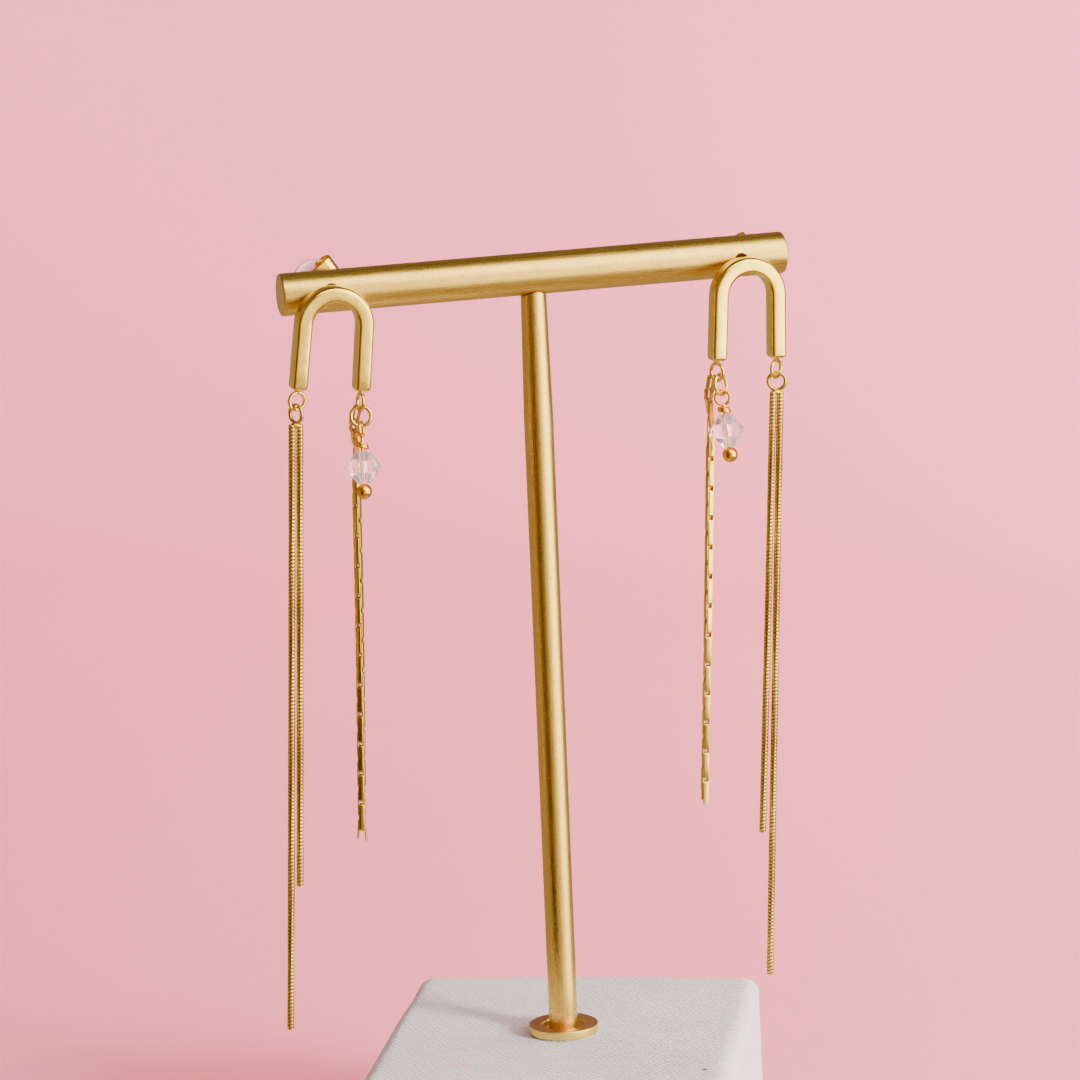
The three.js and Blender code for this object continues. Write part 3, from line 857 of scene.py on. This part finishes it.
def ear_nut(row, place, material):
    """A butterfly nut: a strip whose two ends roll back towards the post, with a dimpled middle."""
    roll_centre = NUT.length / 2 - NUT.roll - NUT.strip / 2
    steps = 28

    def rolled_end(side):
        line = []
        for index in range(steps + 1):
            angle = radians(-90 + 250 * index / steps)
            line.append(Vector((side * (roll_centre + NUT.roll * math.cos(angle)),
                                NUT.roll + NUT.roll * math.sin(angle), 0)))
        return line

    flat = [Vector((x, 0.16 * math.exp(-(x / 0.7) ** 2), 0))
            for x in np.linspace(-roll_centre, roll_centre, 13)[1:-1]]
    line = rolled_end(-1)[::-1] + flat + rolled_end(1)
    section = rounded_section(NUT.strip, NUT.width, NUT.strip * 0.45, 3)
    rows = []
    for index, point in enumerate(line):
        ahead = (line[min(index + 1, len(line) - 1)] - line[max(index - 1, 0)]).normalized()
        outward = Vector((-ahead.y, ahead.x, 0))
        rows.append([point + outward * across + Vector((0, 0, deep)) for across, deep in section])
    shape = Shape().rows(rows, cap_start=True, cap_end=True)
    shape.moved(step(y=NUT.strip / 2))
    spot = place @ turn_about("Z", row.post_turn) @ step(x=row.nut_aside, y=NUT_PLACE)
    piece = store(f"ear_nut_{row.name}_look", shape, spot @ turn_about("Y", row.nut_turn))
    return finished(piece, material, "polished_gold", f"ear_nut_{row.name}")


def nut_disc(row, place, material):
    hole, radius, thick = DISC.hole, DISC.radius, DISC.thickness
    profile = rounded([
        (hole, 0.15), (hole + 0.25, 0), (radius, 0), (radius, thick), (1.5, thick),
        (1.3, thick + 0.2), (hole + 0.1, thick + 0.2), (hole, thick),
    ], DISC.round, 5)
    spot = place @ turn_about("Z", row.post_turn) @ step(x=row.disc_aside, y=DISC_PLACE)
    piece = store(f"nut_disc_{row.name}_look", turned_shape(profile, 72), spot @ turn_about("X", -90))
    return finished(piece, material, "clear_plastic", f"nut_disc_{row.name}")


# ---- Chains ----


def hook_point(holder, hanging, turn, aside):
    """Where the top of a hanging ring sits, from the middle of the ring that holds it."""
    reach = holder.radius - holder.wire - hanging.wire - LINK_GAP
    return step(aside * math.cos(radians(turn)), aside * math.sin(radians(turn)),
                -math.sqrt(reach ** 2 - aside ** 2))


def snake_strand(x, top, strand, side):
    """A woven snake strand: zigzag bands, one to each pitch, twisting slowly on the way down."""
    columns, rows_to_band, zigzags = 24, 5, 6
    bands = int(strand.length / SNAKE.pitch)
    rows = []
    for index in range(bands * rows_to_band + 1):
        fraction = index / (bands * rows_to_band)
        drift = side * strand.drift * (2 * SNAKE.mid_drift * fraction * (1 - fraction) + fraction ** 2)
        height = top - strand.length * fraction
        twist = fraction * strand.length * 0.05
        row = []
        for column in range(columns):
            angle = TURN * column / columns
            wave = abs(((angle + twist) * zigzags / TURN) % 1 - 0.5) * 2
            band = index / rows_to_band + 0.5 * wave
            swell = abs(math.sin(math.pi * band)) ** 0.7
            radius = SNAKE.radius * (0.70 + 0.26 * swell + 0.07 * wave)
            row.append((x + drift + radius * math.cos(angle), radius * math.sin(angle), height))
        rows.append(row)
    shape = Shape().rows(rows, cap_start=True, cap_end=True)
    end_x = x + side * strand.drift
    tip = turned_shape([(0, -0.12), (0.3, -0.12), (0.45, 0.0), (0.45, 0.1), (0, 0.1)], 24)
    return shape.add(tip.moved(step(end_x, 0, top - strand.length)))


def snake_chains(row, plumb, material):
    """The ring with both strands soldered under it, the long one on the outer side."""
    top = -2 * SNAKE_RING.radius - SNAKE_RING.wire
    shape = solid_ring(SNAKE_RING, row.snake_ring_turn).moved(step(z=-SNAKE_RING.radius))
    solder = turned_shape(rounded([
        (0, -0.34), (0.45, -0.34), (0.6, -0.1), (0.5, 0.2), (0.25, 0.36), (0, 0.36),
    ], 0.2), 32)
    shape.add(solder.moved(step(z=top) @ Matrix.Diagonal((1.35, 1, 1, 1))))
    shape.add(snake_strand(row.snake_leg * SNAKE.spacing, top, row.long_strand, row.snake_leg))
    shape.add(snake_strand(-row.snake_leg * SNAKE.spacing, top, row.short_strand, -row.snake_leg))
    spot = plumb @ hook_point(EYE, SNAKE_RING, row.snake_eye_turn, row.snake_aside)
    piece = store(f"snake_chains_{row.name}_look", shape, spot, sharp_over=70)
    return finished(piece, material, "chain_gold", f"snake_chains_{row.name}")


def smooth_route(points, per_span=40):
    """A centripetal Catmull-Rom curve through the points."""
    points = [Vector(point) for point in points]
    points = [2 * points[0] - points[1]] + points + [2 * points[-1] - points[-2]]
    route = []
    for p0, p1, p2, p3 in zip(points, points[1:], points[2:], points[3:]):
        t1 = (p1 - p0).length ** 0.5
        t2 = t1 + (p2 - p1).length ** 0.5
        t3 = t2 + (p3 - p2).length ** 0.5
        for index in range(per_span):
            t = t1 + (t2 - t1) * index / per_span
            a1 = p0 * ((t1 - t) / t1) + p1 * (t / t1)
            a2 = p1 * ((t2 - t) / (t2 - t1)) + p2 * ((t - t1) / (t2 - t1))
            a3 = p2 * ((t3 - t) / (t3 - t2)) + p3 * ((t - t2) / (t3 - t2))
            b1 = a1 * ((t2 - t) / t2) + a2 * (t / t2)
            b2 = a2 * ((t3 - t) / (t3 - t1)) + a3 * ((t - t1) / (t3 - t1))
            route.append(b1 * ((t2 - t) / (t2 - t1)) + b2 * ((t - t1) / (t2 - t1)))
    return route + [points[-2]]


def stations_along(route, first, pitch, count):
    """Places and directions at even steps along a route, carried on straight past its end."""
    lengths = [0.0]
    for before, after in zip(route, route[1:]):
        lengths.append(lengths[-1] + (after - before).length)
    result = []
    for index in range(count):
        wanted = first + pitch * index
        at = min(max(int(np.searchsorted(lengths, wanted)), 1), len(route) - 1)
        ahead = (route[at] - route[at - 1]).normalized()
        result.append((route[at - 1] + ahead * (wanted - lengths[at - 1]), ahead))
    return result


def strip_link(cut_open=False):
    """A long link bent from flat strip, in the XZ plane about its middle. The last one is cut open."""
    half = LINK.width / 2 - LINK.thickness / 2
    tall = LINK.length / 2 - LINK.thickness / 2
    corner = LINK.corner
    centres = ((half - corner, tall - corner), (corner - half, tall - corner),
               (corner - half, corner - tall), (half - corner, corner - tall))
    route = []
    for quarter, (x, z) in enumerate(centres):
        for index in range(5):
            angle = (quarter + index / 4) * math.pi / 2
            route.append(Vector((x + corner * math.cos(angle), 0, z + corner * math.sin(angle))))
    if cut_open:
        route = [Vector((half * 1.5, 0, -tall * 0.7))] + route[:10] + [Vector((-half * 1.3, 0, -tall * 0.5))]
    count = len(route)
    rows = []
    for index, point in enumerate(route):
        before = route[max(index - 1, 0)] if cut_open else route[index - 1]
        after = route[min(index + 1, count - 1)] if cut_open else route[(index + 1) % count]
        ahead = (after - before).normalized()
        outward = Vector((ahead.z, 0, -ahead.x))
        section = rounded_section(LINK.thickness, LINK.strip, 0.07, 2)
        rows.append([point + outward * across + Vector((0, deep, 0)) for across, deep in section])
    return Shape().rows(rows, closed=not cut_open, cap_start=cut_open, cap_end=cut_open)


def link_chain(row, plumb, material):
    """The fine long-link chain, drawn about the leg's end: from the eye, behind the crystal, down."""
    links = row.links
    eye_back = radians(row.drop_eye_turn)
    hooked = 0.8 * EYE.radius
    start = (-hooked * math.cos(eye_back), -hooked * math.sin(eye_back),
             -EYE_DROP - 0.6 * EYE.radius + LINK.thickness)
    route = smooth_route([
        start,
        (links.top, LINKS.behind_eye, -LINKS.start - 3.4),
        (links.middle, LINKS.behind_crystal, -LINKS.crystal_from),
        (links.middle, LINKS.behind_crystal, -LINKS.crystal_to),
        ((links.middle + links.end) / 2, LINKS.behind_middle, -LINKS.start - links.length / 2),
        (links.end, LINKS.behind_end, -LINKS.start - links.length),
    ])
    total = sum((after - before).length for before, after in zip(route, route[1:]))
    count = int((total - LINK.length / 2) / LINK.pitch)
    shape = Shape()
    for index, (point, ahead) in enumerate(stations_along(route, LINK.length / 2, LINK.pitch, count)):
        upright = (-ahead).to_track_quat("Z", "X").to_matrix().to_4x4()
        wander = 14 * noise.noise(Vector((index * 0.35, row.along, 0)))
        turn = (index % 2) * 90 + LINK.turn + wander
        link = strip_link(cut_open=index == count - 1)
        shape.add(link.moved(Matrix.Translation(point) @ upright @ turn_about("Z", turn)))
    piece = store(f"link_chain_{row.name}_look", shape, plumb @ step(z=EYE_DROP), sharp_over=50)
    return finished(piece, material, "chain_gold", f"link_chain_{row.name}")


# ---- Crystal drop ----


def pin_heights(pin_neck):
    """Heights along the head pin, from its loop's middle."""
    wrap_top = -LOOP.radius - pin_neck
    wrap_bottom = wrap_top - WRAP.height
    crystal_top = wrap_bottom - LINK_GAP
    crystal_bottom = crystal_top - CRYSTAL.height
    return wrap_top, wrap_bottom, crystal_top, crystal_bottom


def drop_pin(row, place, material):
    """Ball, pin, loop, and the pin's end wound round below the loop."""
    wrap_top, _, _, crystal_bottom = pin_heights(row.pin_neck)
    ball_middle = crystal_bottom - LINK_GAP - BALL
    gap = 24
    loop_route = ring_route(LOOP.radius, row.loop_turn, 56, radians(-90 + gap), TURN - radians(gap))
    shape = wire(loop_route, LOOP.wire, 16)
    shape.add(wire([(0, 0, z) for z in np.linspace(ball_middle, -LOOP.radius, 6)], LOOP.wire, 16))
    coil_radius = WRAP.radius - LOOP.wire
    coil_fall = WRAP.height - 2 * LOOP.wire - 2 * WRAP.droop
    steps = 28 * WRAP.turns
    coil = []
    for index in range(steps + 1):
        fraction = index / steps
        angle = TURN * WRAP.turns * fraction + radians(row.loop_turn)
        reach = coil_radius * (1 - 0.12 * math.sin(math.pi * fraction))
        height = wrap_top - LOOP.wire - WRAP.droop - coil_fall * fraction
        coil.append((reach * math.cos(angle), reach * math.sin(angle),
                     height - WRAP.droop * math.cos(angle)))
    shape.add(wire(coil, LOOP.wire * 0.95, 12))
    ball = []
    for index in range(25):
        angle = -math.pi / 2 + math.pi * index / 24
        ball.append((BALL * math.cos(angle), ball_middle + BALL * math.sin(angle)))
    ball[0] = (0, ball_middle - BALL)
    ball[-1] = (0, ball_middle + BALL)
    shape.add(turned_shape(ball, 48))
    piece = store(f"drop_pin_{row.name}_look", shape, place, sharp_over=50)
    return finished(piece, material, "warm_gold", f"drop_pin_{row.name}")


def crystal(row, place, material):
    """A bored bicone with alternately wide and narrow facets."""
    _, _, top, bottom = pin_heights(row.pin_neck)
    middle = (top + bottom) / 2
    facets = CRYSTAL.facets

    def ring_of(radius, height):
        """Corners of alternately wide and narrow facets."""
        angles = [TURN * (index // 2 + (index % 2) * 0.66) / (facets / 2) for index in range(facets)]
        return [(radius * math.cos(angle), radius * math.sin(angle), height) for angle in angles]

    levels = [
        ring_of(CRYSTAL.table_radius, bottom),
        ring_of(CRYSTAL.radius, middle - CRYSTAL.girdle),
        ring_of(CRYSTAL.radius, middle + CRYSTAL.girdle),
        ring_of(CRYSTAL.table_radius, top),
        ring_of(CRYSTAL.bore, top),
        ring_of(CRYSTAL.bore, bottom),
    ]
    shape = Shape().rows(levels, closed=True)
    piece = store(f"crystal_{row.name}_look", shape, place, sharp_over=1)
    return finished(piece, material, "crystal_glass", f"crystal_{row.name}")


# ---- One earring ----


def make_earring(row, gold, warm, chain, glass, plastic):
    on_bar = BAR_PLACE @ Vector((row.along - BAR.shift, 0, row.post_rise))
    upright = turn_about("Z", BAR.turn + row.turn)
    place = (Matrix.Translation(on_bar) @ upright
             @ turn_about("X", row.pitch) @ turn_about("Y", row.swing))
    arch(row, place, gold)
    ear_nut(row, place, gold)
    nut_disc(row, place, plastic)

    def plumb_under(side):
        eye_middle = place @ (leg_end(side) - Vector((0, 0, EYE_DROP)))
        return Matrix.Translation(eye_middle) @ upright

    snake_chains(row, plumb_under(row.snake_leg), chain)
    drop_side = plumb_under(-row.snake_leg)
    link_chain(row, drop_side, chain)

    drop = (drop_side @ hook_point(EYE, DROP_RING, row.drop_eye_turn, row.drop_aside)
            @ turn_about("X", -row.drop_forward) @ turn_about("Y", -row.drop_lean))
    ring_place = drop @ step(z=-DROP_RING.radius)
    ring = store(f"drop_ring_{row.name}_look", jump_ring(DROP_RING, row.drop_ring_turn, 200), ring_place)
    finished(ring, gold, "warm_gold", f"drop_ring_{row.name}")
    hung = hook_point(DROP_RING, LOOP, row.drop_ring_turn, 0)
    pin_place = drop @ hung @ step(z=-DROP_RING.radius - LOOP.radius)
    drop_pin(row, pin_place, warm)
    crystal(row, pin_place, glass)


# ---- Studio ----


def make_stage():
    """One pale sheet: a level floor that curves up into a backdrop, left out of reflections."""
    half, front, back, curve, tall, steps = 1300, -700, 900, 400, 1100, 24
    profile = [(front, 0), (back - curve, 0)]
    for index in range(1, steps + 1):
        angle = index / steps * math.pi / 2
        profile.append((back - curve + curve * math.sin(angle), curve - curve * math.cos(angle)))
    profile.append((back, tall))
    rows = [[(x, y, z) for x in (-half, half)] for y, z in profile]
    shape = Shape().rows(rows, wrap=False)
    sheet = store("studio_sheet", shape, Matrix.Identity(4), sharp_over=60)
    sheet.visible_glossy = False
    sheet.data.materials.append(studio_paint("studio_pink", (0.84, 0.225, 0.31)))


def make_dark_card():
    """A dark card in front on the left. Only glossy reflections show it: it bands round metal."""
    distance, bottom, top = 300, -150, 170
    rows = []
    for height in (bottom, top):
        rows.append([(distance * math.sin(radians(azimuth)), -distance * math.cos(radians(azimuth)), height)
                     for azimuth in range(-46, -5, 8)])
    card = store("dark_card", Shape().rows(rows, wrap=False), Matrix.Identity(4))
    card.data.materials.append(studio_paint("card_brown", (0.05, 0.034, 0.022)))
    card.visible_camera = False
    card.visible_diffuse = False
    card.visible_shadow = False
    card.visible_transmission = False


def make_world():
    """A warm room all round, brighter below than overhead."""
    world = bpy.data.worlds.new("soft_room")
    bpy.context.scene.world = world
    world.use_nodes = True
    nodes, links = world.node_tree.nodes, world.node_tree.links
    background = nodes["Background"]
    place = nodes.new("ShaderNodeTexCoord")
    split = nodes.new("ShaderNodeSeparateXYZ")
    links.new(place.outputs["Generated"], split.inputs["Vector"])
    height = nodes.new("ShaderNodeMapRange")
    height.inputs["From Min"].default_value = -1.0
    links.new(split.outputs["Z"], height.inputs["Value"])
    ramp = nodes.new("ShaderNodeValToRGB")
    links.new(height.outputs["Result"], ramp.inputs["Fac"])
    stops = ramp.color_ramp.elements
    stops[0].color = (0.85, 0.62, 0.42, 1)
    stops[1].color = (0.20, 0.15, 0.09, 1)
    stops.new(0.4).color = (0.70, 0.50, 0.36, 1)
    stops.new(0.62).color = (0.42, 0.31, 0.22, 1)
    links.new(ramp.outputs["Color"], background.inputs["Color"])
    background.inputs["Strength"].default_value = 0.75


make_camera()
make_world()
make_lights()
make_stage()
make_dark_card()
base_block()
base_collar()
stand_stem()
stand_crossbar()

pale_gold = polished_gold("pale_gold", (1.0, 0.72, 0.13), (0.93, 0.60, 0.07))
warm_gold = polished_gold("warm_gold", (1.0, 0.53, 0.06), (0.92, 0.38, 0.03), 0.07)
fine_chain = chain_gold("fine_chain_gold")
glass = cut_crystal("crystal_glass")
plastic = clear_plastic("clear_plastic")
for earring in EARRINGS:
    make_earring(earring, pale_gold, warm_gold, fine_chain, glass, plastic)
